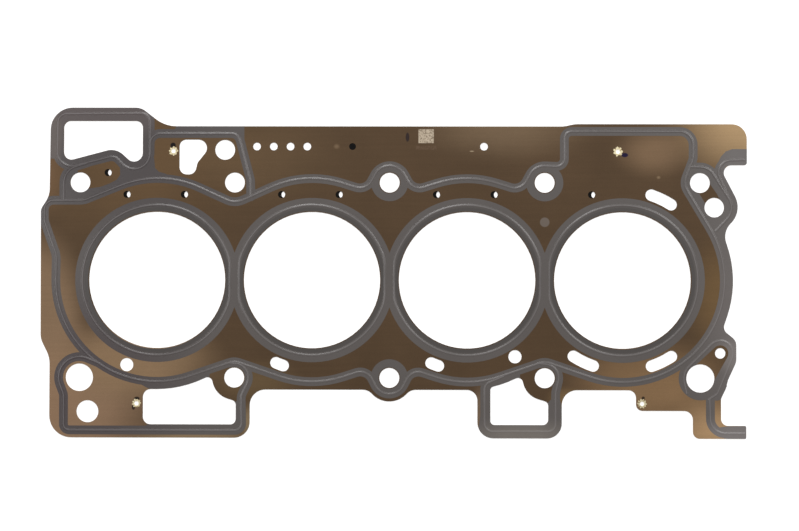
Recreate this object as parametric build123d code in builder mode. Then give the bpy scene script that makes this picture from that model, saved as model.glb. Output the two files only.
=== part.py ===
from build123d import *
from math import asin, atan2, cos, degrees, hypot, sin, sqrt
import os

os.makedirs("parts", exist_ok=True)

# Cylinder head gasket for an in-line four, lying flat, upper side up.
# The origin is on the line of the bores, midway between bores two and three,
# at the lower face of the lower sheet.

# Engine layout
bore_pitch = 91.5
bolt_row = 57.6

# Openings
bore_radius = 40.25
bolt_hole_radius = 5.9
left_dowel_radius = 8.1
right_dowel_radius = 8.3
oil_hole_radius = 6.5
port_hole_radius = 5.9
lobe_hole_radius = 5.8
drain_hole_radius = 3.1
coolant_hole_radius = 3.9
coolant_slot_width = 6.85
coolant_ring_gap = 12.95
gauge_hole_radius = 2.3
gauge_hole_spacing = 9.92
gauge_hole_count = 4
orifice_radius = 2.1
orifice_shift = 2.0
orifice_row = 50.5
sight_hole_radius = 2.0

# Sheets
upper_thickness = 0.25
lower_thickness = 0.7
plate_thickness = lower_thickness + upper_thickness

# Edges of the sheets, out from a bolt row
port_edge = bolt_row + 44.3
top_edge = bolt_row + 33.3
ear_edge = bolt_row + 34.7
bottom_edge = -bolt_row - 7.0
foot_edge = -bolt_row - 35.4

# Sealing coat, printed along the seal lines
coat_thickness = 0.04
coat_margin = 0.5
seal_width = 5.2
bore_coat_gap = 8.25
bolt_line_gap = 13.6
bolt_coat_radius = 11.0

# Small holes, and those in the coat, are drawn with flat sides
small_hole_sides = 12
coat_hole_sides = 24

# Rivets, with their feet sunk flush into the lower sheet
rivet_radius = 1.95
rivet_bore_radius = 1.45
rivet_foot_radius = 3.0
rivet_foot_thickness = 0.2
rivet_foot_clearance = 0.05
rivet_petals = 6
rivet_petal_reach = 3.1
rivet_petal_root = 1.95
rivet_petal_thickness = 0.22

# Bolt columns and bore centres, from left to right
far_left = -2 * bore_pitch
left = -bore_pitch
right = bore_pitch
far_right = 2 * bore_pitch
bores = [(n - 1.5) * bore_pitch for n in range(4)]

# Round features that repeat with the bolts
upper_bolts = [(x, bolt_row) for x in (far_left, left, 0, right, far_right)]
lower_bolts = [(x, -bolt_row) for x in (left, 0, right)]
rivets = {
    "rivet_upper_left": (left - 36.4, bolt_row + 18.6),
    "rivet_upper_right": (right + 43.2, bolt_row + 18.4),
    "rivet_lower_left": (left - 57.6, -bolt_row - 15.2),
    "rivet_lower_right": (far_right - 34.3, -bolt_row - 14.9),
}
lobe_hole = (far_right + 8.4, 43.05)
drain_hole = (far_right + 11.7, -bolt_row + 14.8)


def rounded_face(corners, x=0, y=0):
    """A region whose corners are (x, y, radius), measured from a point."""
    with BuildSketch() as region:
        with BuildLine():
            FilletPolyline(
                *[(x + corner[0], y + corner[1]) for corner in corners],
                radius=[corner[2] for corner in corners],
                close=True,
            )
        make_face()
    return region.sketch


def tangent_line(start, end):
    """The straight run from one circle to the next, and its heading.

    A circle is (x, y, radius). The radius is positive where the line turns
    left round it, and negative where the line turns right.
    """
    x1, y1, r1 = start
    x2, y2, r2 = end
    dx = x2 - x1
    dy = y2 - y1
    heading = atan2(dy, dx) - asin((r2 - r1) / hypot(dx, dy))
    side_x = sin(heading)
    side_y = -cos(heading)
    return (x1 + r1 * side_x, y1 + r1 * side_y), (x2 + r2 * side_x, y2 + r2 * side_y), heading


def belt_face(circles):
    """The region inside a closed line that runs from circle to circle."""
    count = len(circles)
    runs = [tangent_line(circles[i], circles[(i + 1) % count]) for i in range(count)]
    with BuildSketch() as region:
        with BuildLine():
            for i in range(count):
                start, end, heading = runs[i]
                x, y, radius = circles[(i + 1) % count]
                Line(start, end)
                turn = degrees(runs[(i + 1) % count][2] - heading) % 360
                if radius < 0:
                    turn -= 360
                first = degrees(heading) - 90 if radius > 0 else degrees(heading) + 90
                CenterArc((x, y), abs(radius), first, turn)
        make_face()
    return region.sketch


def shift_line(circles, distance):
    """The same line, moved to its right."""
    return [(x, y, radius + distance) for x, y, radius in circles]


def closed_band(circles, width):
    """A band of even width along a closed line."""
    with BuildSketch() as band:
        add(belt_face(shift_line(circles, -width / 2)))
        add(belt_face(shift_line(circles, width / 2)), mode=Mode.SUBTRACT)
    return band.sketch


def open_band(circles, width):
    """A band of even width with round ends."""
    back = [(x, y, -radius) for x, y, radius in reversed(circles)]
    return belt_face(shift_line(circles + back[1:-1], width / 2))


def nook(first, second, radius, gap=0.5):
    """A circle that lies in the nook to the left of the way from one circle to another."""
    x1, y1, r1 = first
    x2, y2, r2 = second
    reach = hypot(x2 - x1, y2 - y1)
    near = abs(r1) + radius + gap
    far = abs(r2) + radius + gap
    along = (near**2 - far**2 + reach**2) / (2 * reach)
    aside = sqrt(near**2 - along**2)
    ux = (x2 - x1) / reach
    uy = (y2 - y1) / reach
    return (x1 + along * ux - aside * uy, y1 + along * uy + aside * ux, radius)


# Outline of both sheets, clockwise from the upper left corner
outline = [
    (far_left - 17.6, port_edge, 13),
    (far_left + 35.8, port_edge, 9.5),
    (far_left + 50.0, top_edge, 20),
    (right + 11.5, top_edge, 16),
    (right + 17.8, ear_edge, 16),
    (far_right + 27.6, ear_edge, 8.8),
    (far_right + 27.6, bolt_row + 10.5, 1.5),
    (far_right + 11.0, bolt_row + 10.5, 4.6),
    (far_right + 25.2, 40.9, 13.5),
    (far_right + 13.1, 28.8, 11),
    (far_right + 23.0, 0, 65),
    (far_right + 13.1, -28.9, 4.5),
    (far_right + 21.1, -35.3, 6),
    (far_right + 21.1, -bolt_row + 9.8, 8),
    (far_right + 16.2, -bolt_row - 0.8, 4),
    (far_right + 14.9, -bolt_row - 5.8, 10),
    (far_right + 12.05, -bolt_row - 11.4, 3),
    (far_right + 12.05, foot_edge + 7.6, 4.2),
    (far_right + 26.8, foot_edge + 7.6, 0.8),
    (far_right + 26.8, foot_edge, 0.8),
    (far_right - 4.4, foot_edge, 4),
    (far_right - 4.4, bottom_edge - 12.1, 5.2),
    (far_right - 37.8, bottom_edge - 12.1, 3.8),
    (far_right - 37.8, bottom_edge, 4.5),
    (right + 10.0, bottom_edge, 9),
    (right + 10.0, foot_edge, 8.7),
    (right - 39.6, foot_edge, 9.3),
    (right - 39.6, bottom_edge, 6.3),
    (12.56, bottom_edge, 7),
    (0, bottom_edge - 13.0, 13.9),
    (-12.56, bottom_edge, 7),
    (left + 9.2, bottom_edge, 9.2),
    (left + 9.2, foot_edge, 9.3),
    (far_left - 17.6, foot_edge, 13),
    (far_left - 17.6, -45.8, 16),
    (far_left - 23.0, -34.9, 12),
    (far_left - 23.3, 41.8, 5),
    (far_left - 18.2, 49.8, 14),
]

# Windows, each from the bolt beside it
chain_window = [(-9.9, 36.4, 4), (36.9, 36.4, 4), (36.9, 5.7, 5.2), (21.0, 20.3, 10), (-9.9, 12.1, 4.5)]
drain_window = [
    (-32.9, 25.4, 4),
    (-11.2, 25.4, 5),
    (-22.1, 11.8, 3),
    (-23.8, 4.75, 4.4),
    (-32.9, 4.75, 4.4),
]
long_window = [
    (-53.9, -6.85, 4.7),
    (-31.46, -6.85, 64.45),
    (-13.54, 1.51, 3),
    (-11.27, -10.15, 13),
    (1.0, -13.9, 3),
    (1.0, -27.6, 3.3),
    (-53.9, -27.6, 4.5),
]
short_window = [
    (-32.0, -5.44, 2.2),
    (-23.57, -3.35, 64.5),
    (-13.54, 1.51, 3),
    (-11.27, -10.15, 13),
    (2.1, -14.23, 2.7),
    (2.1, -27.6, 3.3),
    (-32.0, -27.6, 2.5),
]
windows = [
    rounded_face(chain_window, far_left, bolt_row),
    rounded_face(drain_window, left, bolt_row),
    rounded_face(long_window, left, -bolt_row),
    rounded_face(short_window, right, -bolt_row),
]

# Coolant slots: bore centre, first angle and sweep
coolant_ring = bore_radius + coolant_ring_gap
coolant_slots = [
    (bores[3], -71.3, 14),
    (bores[3], -122.9, 14),
    (bores[3], 57.3, 14),
    (bores[2], -113.4, 4.9),
    (bores[1], -113.4, 4.9),
]

round_holes = [
    (far_left, -bolt_row, left_dowel_radius),
    (far_right, -bolt_row, right_dowel_radius),
    (far_left + 4.9, -bolt_row - 20.0, oil_hole_radius),
    (left - 5.85, bolt_row + 19.35, port_hole_radius),
    (*lobe_hole, lobe_hole_radius),
    (*drain_hole, drain_hole_radius),
    (right - 17.5, -bolt_row + 12.6, coolant_hole_radius),
    (far_left + 28.0, -bolt_row + 7.5, coolant_hole_radius),
]

gauge_row = bolt_row + 21.35
gauge_holes = [(left + 13.0 + n * gauge_hole_spacing, gauge_row) for n in range(gauge_hole_count)]
gauge_holes.append((right - 35.8, gauge_row))
sight_hole = (-22.0, gauge_row)

# Metering orifices over the coolant jacket: two at each bore, where no slot takes their place
orifices = [(x + dx, orifice_row) for x in bores for dx in (-18.1, 15.9)][:-1]
orifices.append((far_left + 16.4, bolt_row + 5.8))

# The sheet outline with what both sheets share
with BuildSketch() as sheet:
    add(rounded_face(outline))
    for window in windows:
        add(window, mode=Mode.SUBTRACT)
    with Locations(*[(x, 0) for x in bores]):
        Circle(bore_radius, mode=Mode.SUBTRACT)
    with Locations(*upper_bolts, *lower_bolts):
        Circle(bolt_hole_radius, mode=Mode.SUBTRACT)
    for x, y, radius in round_holes:
        with Locations((x, y)):
            Circle(radius, mode=Mode.SUBTRACT)
    for x, start, sweep_angle in coolant_slots:
        middle = CenterArc((x, 0), coolant_ring, start, sweep_angle, mode=Mode.PRIVATE)
        SlotArc(middle, coolant_slot_width, mode=Mode.SUBTRACT)
    with Locations(*gauge_holes):
        RegularPolygon(gauge_hole_radius, small_hole_sides, mode=Mode.SUBTRACT)
    with Locations(*rivets.values()):
        RegularPolygon(rivet_radius, small_hole_sides, mode=Mode.SUBTRACT)

with BuildPart() as flat_sheet:
    add(sheet.sketch)
    extrude(amount=plate_thickness)
    # in the lower sheet each orifice lies to the right, so that half of it is covered
    with BuildSketch():
        with Locations(*[(x + orifice_shift, y) for x, y in orifices]):
            RegularPolygon(orifice_radius, small_hole_sides)
    extrude(amount=lower_thickness, mode=Mode.SUBTRACT)
    with BuildSketch(Plane.XY.offset(lower_thickness)):
        with Locations(*orifices):
            RegularPolygon(orifice_radius, small_hole_sides)
        with Locations(sight_hole):
            RegularPolygon(sight_hole_radius, small_hole_sides)
    extrude(amount=upper_thickness, mode=Mode.SUBTRACT)
    # a shallow recess takes the foot of each rivet
    with BuildSketch():
        with Locations(*rivets.values()):
            RegularPolygon(rivet_foot_radius + rivet_foot_clearance, small_hole_sides)
    extrude(amount=rivet_foot_thickness, mode=Mode.SUBTRACT)
flat_sheet.part.label = "steel_sheets"
export_step(flat_sheet.part, "parts/steel_sheets.step")

# Seal line round the coolant jacket, clockwise from the left end
jacket_radius = hypot(bore_pitch / 2, bolt_row) - bolt_line_gap
jacket = [(x, 0, -jacket_radius) for x in bores]
upper_middle_bolt = (0, bolt_row, -10)
upper_right_bolt = (right, bolt_row, -10)
lower_middle_bolt = (0, -bolt_row, -9.5)
jacket_line = [
    (bores[0] - jacket_radius - 14.4, 12, 14.6),
    (far_left - 9.3, bolt_row - 20.6, -12),
    (far_left - 15.8, bolt_row - 16.1, -5.5),
    (far_left, bolt_row, 10.6),
    jacket[0],
    (left, bolt_row, 11.4),
    jacket[1],
    nook(jacket[1], upper_middle_bolt, 7.8),
    upper_middle_bolt,
    nook(upper_middle_bolt, jacket[2], 7.8),
    jacket[2],
    nook(jacket[2], upper_right_bolt, 7.8),
    upper_right_bolt,
    (right + 7.1, bolt_row + 14.2, 4.5),
    (right + 16.1, bolt_row + 25.9, -4.5),
    (far_right - 12.0, bolt_row + 22.4, -8),
    (far_right - 10.5, bolt_row + 15.4, -6.5),
    (far_right, bolt_row, 8.8),
    jacket[3],
    (right, -bolt_row, 9.3),
    jacket[2],
    nook(jacket[2], lower_middle_bolt, 7.6),
    lower_middle_bolt,
    nook(lower_middle_bolt, jacket[1], 7.6),
    jacket[1],
    (left, -bolt_row, 9.3),
    jacket[0],
]

# Loops that leave the jacket line, each from the bolt or dowel beside it
chain_window_line = [
    (far_left - 8.5, bolt_row + 35.7, -5),
    (far_left + 36.0, bolt_row + 35.7, -5.2),
    (far_left + 31.7, bolt_row + 17.4, -9.4),
    (far_left + 18.3, bolt_row + 9.2, 6),
    (far_left - 5.4, bolt_row + 17.95, -8.3),
]
left_bolt_line = [
    (far_left + 4.0, bolt_row + 11.5, 0),
    (far_left, bolt_row, 9.8),
    (far_left - 9.8, bolt_row - 10.5, 0),
]
drain_line = [
    (far_left + 41.2, bolt_row + 17.0, 0),
    (far_left + 47.2, bolt_row + 23.0, -6),
    (left - 2.3, bolt_row + 23.5, -5.5),
    (left, bolt_row, -9.3),
    (left + 9.4, bolt_row - 8.5, 0),
]
long_window_line = [
    (far_left + 12.0, -bolt_row + 8.2, 0),
    (far_left, -bolt_row, 12.2),
    (far_left - 16.5, -bolt_row - 11.4, -7.3),
    (far_left - 5.7, -bolt_row - 27.5, 3.5),
    (left + 0.5, -bolt_row - 27.0, 4),
    (left + 11.7, -bolt_row - 12.4, -7.5),
    (left, -bolt_row, 8.4),
    (left - 3.0, -bolt_row + 8.6, 0),
]
short_window_line = [
    (right - 24.0, -bolt_row + 1.2, 0),
    (right - 31.1, -bolt_row - 6.4, 4.2),
    (right - 30.8, -bolt_row - 26.9, 4.5),
    (right + 1.9, -bolt_row - 26.9, 4.5),
    (right + 14.5, -bolt_row - 9.4, -8.1),
    (right, -bolt_row, 8.2),
    (right - 3.0, -bolt_row + 8.6, 0),
]
right_dowel_line = [(far_right, -bolt_row, 10.2), (*drain_hole, 7.3)]
foot_line = [
    (far_right + 5.8, -bolt_row - 8.0, 0),
    (far_right + 14.6, foot_edge + 11.9, 8.8),
    (far_right + 24.0, foot_edge + 3.1, 0),
]
ear_line = [
    (far_right + 24.5, bolt_row + 13.7, 0),
    (far_right + 18.6, bolt_row + 5.9, 7.6),
    (*lobe_hole, -10),
    (far_right + 8.0, 27.0, 0),
]
right_bolt_line = [
    (far_right - 5.5, bolt_row + 9.5, 0),
    (far_right, bolt_row, -9.4),
    (*lobe_hole, -10),
    (far_right + 8.0, 27.0, 0),
]
open_lines = [
    left_bolt_line,
    drain_line,
    long_window_line,
    short_window_line,
    foot_line,
    ear_line,
    right_bolt_line,
]

# Where the coat runs on past the seal lines, mostly out to the edge of the sheet
coat_fields = [
    # round the chain window
    [
        (far_left - 20, bolt_row + 14),
        (far_left - 20, port_edge + 2),
        (far_left + 34, port_edge + 2),
        (far_left + 41, port_edge - 8),
        (far_left + 36, port_edge - 6),
        (far_left - 13, port_edge - 6),
        (far_left - 13, bolt_row + 14),
    ],
    # between the chain window, the drain chamber and the jacket line
    [
        (far_left + 25, bolt_row + 10),
        (far_left + 34, bolt_row + 14),
        (far_left + 43.6, bolt_row + 14.5),
        (far_left + 44.2, bolt_row + 8.5),
        (far_left + 46.5, bolt_row + 6.3),
        (far_left + 51, bolt_row + 5),
        (far_left + 50, bolt_row + 2),
        (far_left + 36, bolt_row),
        (far_left + 31, bolt_row + 2.5),
    ],
    # above the drain chamber
    [
        (far_left + 55, top_edge - 4),
        (far_left + 57, top_edge + 1),
        (left + 5.5, top_edge + 1),
        (left + 5.5, top_edge - 8),
        (left - 2, top_edge - 4),
    ],
    # the right end, outside the seal lines
    [
        (far_right + 12.5, bolt_row + 9),
        (far_right + 30, bolt_row + 9),
        (far_right + 30, -bolt_row - 6.4),
        (far_right + 10, -bolt_row - 6.4),
        (far_right + 19, -bolt_row + 14.6),
        (far_right + 17, -38),
        (far_right + 5, -34),
        (far_right + 14, -8),
        (far_right + 14, 8),
        (far_right + 9, 25),
        (far_right + 14, 33),
        (far_right + 18.4, 43),
    ],
    # the ear at the upper right
    [
        (far_right + 20, bolt_row + 10),
        (far_right + 30, bolt_row + 10),
        (far_right + 30, bolt_row + 20),
        (far_right + 19, bolt_row + 20),
        (far_right + 15.2, bolt_row + 18.6),
        (far_right + 12.4, bolt_row + 15.6),
        (far_right + 10.6, bolt_row + 11.8),
        (far_right + 14, bolt_row + 10),
    ],
    # the foot at the lower right
    [
        (far_right + 15, foot_edge - 1),
        (far_right + 30, foot_edge - 1),
        (far_right + 30, foot_edge + 9),
        (far_right + 15, foot_edge + 4),
    ],
]

# Sealing coat along the seal lines and out to the edges
with BuildPart() as seal_coating:
    with BuildSketch(Plane.XY.offset(plate_thickness)):
        add(closed_band(jacket_line, seal_width))
        add(closed_band(chain_window_line, seal_width))
        add(closed_band(right_dowel_line, -seal_width))
        for line in open_lines:
            add(open_band(line, seal_width))
        with Locations((0, bolt_row), (0, -bolt_row), (right, bolt_row)):
            Circle(bolt_coat_radius)
        for field in coat_fields:
            add(Polygon(*field, align=None, mode=Mode.PRIVATE))
        add(sheet.sketch, mode=Mode.INTERSECT)
        with Locations(*upper_bolts, *lower_bolts):
            RegularPolygon(bolt_hole_radius + coat_margin, coat_hole_sides, mode=Mode.SUBTRACT)
    extrude(amount=coat_thickness)
seal_coating.part.label = "seal_coating"
export_step(seal_coating.part, "parts/seal_coating.step")

# Sealing coat round the bores
with BuildPart() as bore_coating:
    with BuildSketch(Plane.XY.offset(plate_thickness)):
        with Locations(*[(x, 0) for x in bores]):
            Circle(bore_radius + bore_coat_gap)
        with Locations(*[(x, 0) for x in bores]):
            Circle(bore_radius + coat_margin, mode=Mode.SUBTRACT)
    extrude(amount=coat_thickness)
bore_coating.part.label = "bore_coating"
export_step(bore_coating.part, "parts/bore_coating.step")

# Hollow rivets that hold the sheets together, each burst into petals on the upper side
for name, (x, y) in rivets.items():
    with BuildPart() as rivet:
        with BuildSketch():
            with Locations((x, y)):
                RegularPolygon(rivet_foot_radius, small_hole_sides)
        extrude(amount=rivet_foot_thickness)
        with BuildSketch():
            with Locations((x, y)):
                RegularPolygon(rivet_radius, small_hole_sides)
        extrude(amount=plate_thickness)
        with BuildSketch(Plane.XY.offset(plate_thickness)):
            star = []
            for n in range(rivet_petals):
                tip_angle = 360 / rivet_petals * n
                star.append(Vector(rivet_petal_reach, 0).rotate(Axis.Z, tip_angle))
                star.append(Vector(rivet_petal_root, 0).rotate(Axis.Z, tip_angle + 180 / rivet_petals))
            Polygon(*[Vector(x, y) + point for point in star], align=None)
        extrude(amount=rivet_petal_thickness)
        with BuildSketch():
            with Locations((x, y)):
                RegularPolygon(rivet_bore_radius, small_hole_sides)
        extrude(amount=plate_thickness + rivet_petal_thickness, mode=Mode.SUBTRACT)
    rivet.part.label = name
    export_step(rivet.part, f"parts/{name}.step")
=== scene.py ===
from math import asin, atan2, cos, hypot, pi, radians, sin, sqrt, tan
from random import Random

import bpy
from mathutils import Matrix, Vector


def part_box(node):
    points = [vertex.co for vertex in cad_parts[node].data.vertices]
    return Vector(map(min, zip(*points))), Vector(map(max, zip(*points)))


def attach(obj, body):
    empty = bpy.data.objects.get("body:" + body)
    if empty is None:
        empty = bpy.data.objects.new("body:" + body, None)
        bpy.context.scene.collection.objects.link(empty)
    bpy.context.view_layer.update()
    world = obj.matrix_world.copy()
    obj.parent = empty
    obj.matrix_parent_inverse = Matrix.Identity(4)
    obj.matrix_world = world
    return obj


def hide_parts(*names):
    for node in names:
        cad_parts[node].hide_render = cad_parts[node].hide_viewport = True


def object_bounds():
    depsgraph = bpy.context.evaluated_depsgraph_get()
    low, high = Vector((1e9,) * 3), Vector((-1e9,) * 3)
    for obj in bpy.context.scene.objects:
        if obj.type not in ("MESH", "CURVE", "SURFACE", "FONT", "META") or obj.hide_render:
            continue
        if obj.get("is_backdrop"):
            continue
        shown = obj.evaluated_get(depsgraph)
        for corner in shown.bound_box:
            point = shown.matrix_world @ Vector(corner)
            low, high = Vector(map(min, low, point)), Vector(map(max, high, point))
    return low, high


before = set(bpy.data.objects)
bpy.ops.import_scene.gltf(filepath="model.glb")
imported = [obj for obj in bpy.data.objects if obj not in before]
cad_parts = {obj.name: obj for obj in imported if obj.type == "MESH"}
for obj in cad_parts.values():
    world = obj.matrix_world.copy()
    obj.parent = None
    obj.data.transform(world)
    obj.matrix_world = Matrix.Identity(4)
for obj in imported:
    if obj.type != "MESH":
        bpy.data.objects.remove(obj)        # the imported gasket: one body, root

mm = 0.001
cadLow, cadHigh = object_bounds()
print("frame loaded, CAD box", [round(v / mm, 2) for v in (*cadLow, *cadHigh)])

# The engine's layout in millimetres, the same as the sheets were drawn from
engine = {
    "pitch": 91.5,         # from one bore to the next
    "row": 57.6,           # from the line of the bores to each row of head bolts
    "boltHole": 5.9,       # radius
    "lobeHole": 5.8,       # radius of the oil hole in the ear
    "closeSpots": 0.002,   # spots of a mesh nearer than this are one
    "level": 0.99,         # a face is level when its normal rises more than this
}
pitch = engine["pitch"]
row = engine["row"]
farLeft = -2 * pitch
left = -pitch
right = pitch
farRight = 2 * pitch
bores = [(n - 1.5) * pitch for n in range(4)]
lobeHole = (farRight + 8.4, 43.05)
drainHole = (farRight + 11.7, -row + 14.8)


# Picking, joining and finishing

def pickNone():
    if bpy.context.object and bpy.context.object.mode != "OBJECT":
        bpy.ops.object.mode_set(mode="OBJECT")
    bpy.ops.object.select_all(action="DESELECT")


def pickOnly(piece):
    pickNone()
    piece.select_set(True)
    bpy.context.view_layer.objects.active = piece


def applyModifier(piece, kind, **values):
    pickOnly(piece)
    modifier = piece.modifiers.new(kind.title(), kind)
    for key, value in values.items():
        setattr(modifier, key, value)
    bpy.ops.object.modifier_apply(modifier=modifier.name)


def mergeSpots(piece, distance, turnOutwards=False):
    pickOnly(piece)
    bpy.ops.object.mode_set(mode="EDIT")
    bpy.ops.mesh.select_mode(type="VERT")
    bpy.ops.mesh.select_all(action="SELECT")
    bpy.ops.mesh.remove_doubles(threshold=distance * mm)
    if turnOutwards:
        bpy.ops.mesh.normals_make_consistent(inside=False)
    bpy.ops.object.mode_set(mode="OBJECT")


def joinPieces(pieces, name):
    pickNone()
    for piece in pieces:
        piece.select_set(True)
    joined = pieces[0]
    bpy.context.view_layer.objects.active = joined
    bpy.ops.object.join()
    joined.name = name
    return joined


def linkNew(name, data):
    piece = bpy.data.objects.new(name, data)
    bpy.context.scene.collection.objects.link(piece)
    return piece


def finishPiece(piece, material):
    piece.data.materials.clear()
    piece.data.materials.append(material)
    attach(piece, "root")


# Node helpers

noiseRange = (0.3, 0.7)     # most of a noise lies between these


def addNode(tree, kind, **values):
    node = tree.nodes.new(kind)
    for key, value in values.items():
        setattr(node, key, value)
    return node


def newMaterial(name):
    material = bpy.data.materials.new(name)
    material.use_nodes = True
    return material, material.node_tree, material.node_tree.nodes["Principled BSDF"]


def srgb(red, green, blue):
    # screen values from 0 to 255, made linear
    channels = []
    for value in (red, green, blue):
        share = value / 255
        channels.append(share / 12.92 if share <= 0.04045 else ((share + 0.055) / 1.055) ** 2.4)
    return (*channels, 1)


def noiseOver(tree, place, scale, detail=3.0, rough=0.55, stretch=(1, 1, 1)):
    mapping = addNode(tree, "ShaderNodeMapping")
    mapping.inputs["Scale"].default_value = stretch
    noise = addNode(tree, "ShaderNodeTexNoise")
    noise.inputs["Scale"].default_value = scale
    noise.inputs["Detail"].default_value = detail
    noise.inputs["Roughness"].default_value = rough
    tree.links.new(place, mapping.inputs["Vector"])
    tree.links.new(mapping.outputs["Vector"], noise.inputs["Vector"])
    return noise.outputs["Fac"]


def ranged(tree, value, low, high, toLow, toHigh):
    node = addNode(tree, "ShaderNodeMapRange")
    limits = {"From Min": low, "From Max": high, "To Min": toLow, "To Max": toHigh}
    for name, number in limits.items():
        node.inputs[name].default_value = number
    tree.links.new(value, node.inputs["Value"])
    return node.outputs["Result"]


def mixed(tree, share, first, second, blend="MIX"):
    node = addNode(tree, "ShaderNodeMix", data_type="RGBA", blend_type=blend)
    for name, value in (("Factor", share), ("A", first), ("B", second)):
        if isinstance(value, (tuple, float, int)):
            node.inputs[name].default_value = value
        else:
            tree.links.new(value, node.inputs[name])
    return node.outputs["Result"]


# Group: a soft-edged round or oval patch, as a mask from 0 to 1

def makePatchGroup():
    group = bpy.data.node_groups.new("softPatch", "ShaderNodeTree")
    group.interface.new_socket("Place", in_out="INPUT", socket_type="NodeSocketVector")
    group.interface.new_socket("Centre", in_out="INPUT", socket_type="NodeSocketVector")
    group.interface.new_socket("Size", in_out="INPUT", socket_type="NodeSocketVector")
    group.interface.new_socket("Feather", in_out="INPUT", socket_type="NodeSocketFloat")
    group.interface.new_socket("Mask", in_out="OUTPUT", socket_type="NodeSocketFloat")
    inside = addNode(group, "NodeGroupInput")
    outside = addNode(group, "NodeGroupOutput")
    away = addNode(group, "ShaderNodeVectorMath", operation="SUBTRACT")
    scaled = addNode(group, "ShaderNodeVectorMath", operation="DIVIDE")
    flat = addNode(group, "ShaderNodeVectorMath", operation="MULTIPLY")
    flat.inputs[1].default_value = (1, 1, 0)
    reach = addNode(group, "ShaderNodeVectorMath", operation="LENGTH")
    start = addNode(group, "ShaderNodeMath", operation="SUBTRACT")
    start.inputs[0].default_value = 1
    fade = addNode(group, "ShaderNodeMapRange", interpolation_type="SMOOTHSTEP")
    fade.inputs["From Max"].default_value = 1
    fade.inputs["To Min"].default_value = 1
    fade.inputs["To Max"].default_value = 0
    group.links.new(inside.outputs["Place"], away.inputs[0])
    group.links.new(inside.outputs["Centre"], away.inputs[1])
    group.links.new(away.outputs["Vector"], scaled.inputs[0])
    group.links.new(inside.outputs["Size"], scaled.inputs[1])
    group.links.new(scaled.outputs["Vector"], flat.inputs[0])
    group.links.new(flat.outputs["Vector"], reach.inputs[0])
    group.links.new(inside.outputs["Feather"], start.inputs[1])
    group.links.new(reach.outputs["Value"], fade.inputs["Value"])
    group.links.new(start.outputs["Value"], fade.inputs["From Min"])
    group.links.new(fade.outputs["Result"], outside.inputs["Mask"])
    return group


# Group: two noises of a surface, its fine grain and its slow clouds

grainShape = {
    "fineDetail": 2,
    "cloudScale": 22,
    "cloudDetail": 4,
}


def makeGrainGroup():
    group = bpy.data.node_groups.new("fineGrain", "ShaderNodeTree")
    group.interface.new_socket("Place", in_out="INPUT", socket_type="NodeSocketVector")
    group.interface.new_socket("Fineness", in_out="INPUT", socket_type="NodeSocketFloat")
    group.interface.new_socket("Grain", in_out="OUTPUT", socket_type="NodeSocketFloat")
    group.interface.new_socket("Cloud", in_out="OUTPUT", socket_type="NodeSocketFloat")
    inside = addNode(group, "NodeGroupInput")
    outside = addNode(group, "NodeGroupOutput")
    fine = addNode(group, "ShaderNodeTexNoise")
    fine.inputs["Detail"].default_value = grainShape["fineDetail"]
    cloud = addNode(group, "ShaderNodeTexNoise")
    cloud.inputs["Scale"].default_value = grainShape["cloudScale"]
    cloud.inputs["Detail"].default_value = grainShape["cloudDetail"]
    group.links.new(inside.outputs["Place"], fine.inputs["Vector"])
    group.links.new(inside.outputs["Place"], cloud.inputs["Vector"])
    group.links.new(inside.outputs["Fineness"], fine.inputs["Scale"])
    group.links.new(fine.outputs["Fac"], outside.inputs["Grain"])
    group.links.new(cloud.outputs["Fac"], outside.inputs["Cloud"])
    return group


patchGroup = makePatchGroup()
grainGroup = makeGrainGroup()


def patchMask(tree, place, centre, size, feather):
    node = addNode(tree, "ShaderNodeGroup", node_tree=patchGroup)
    node.inputs["Centre"].default_value = (centre[0] * mm, centre[1] * mm, 0)
    node.inputs["Size"].default_value = (size[0] * mm, size[1] * mm, 1)
    node.inputs["Feather"].default_value = feather
    tree.links.new(place, node.inputs["Place"])
    return node.outputs["Mask"]


def grainOver(tree, place, fineness):
    node = addNode(tree, "ShaderNodeGroup", node_tree=grainGroup)
    node.inputs["Fineness"].default_value = fineness
    tree.links.new(place, node.inputs["Place"])
    return node.outputs["Grain"], node.outputs["Cloud"]


def addBump(tree, shader, height, strength, distance):
    bump = addNode(tree, "ShaderNodeBump")
    bump.inputs["Strength"].default_value = strength
    bump.inputs["Distance"].default_value = distance
    tree.links.new(height, bump.inputs["Height"])
    tree.links.new(bump.outputs["Normal"], shader.inputs["Normal"])


# Group: a rectangle with soft sides, as a mask from 0 to 1

fieldSide = (-0.1, 0.3)     # past its side in mm, where the field starts to fade and where it ends


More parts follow.
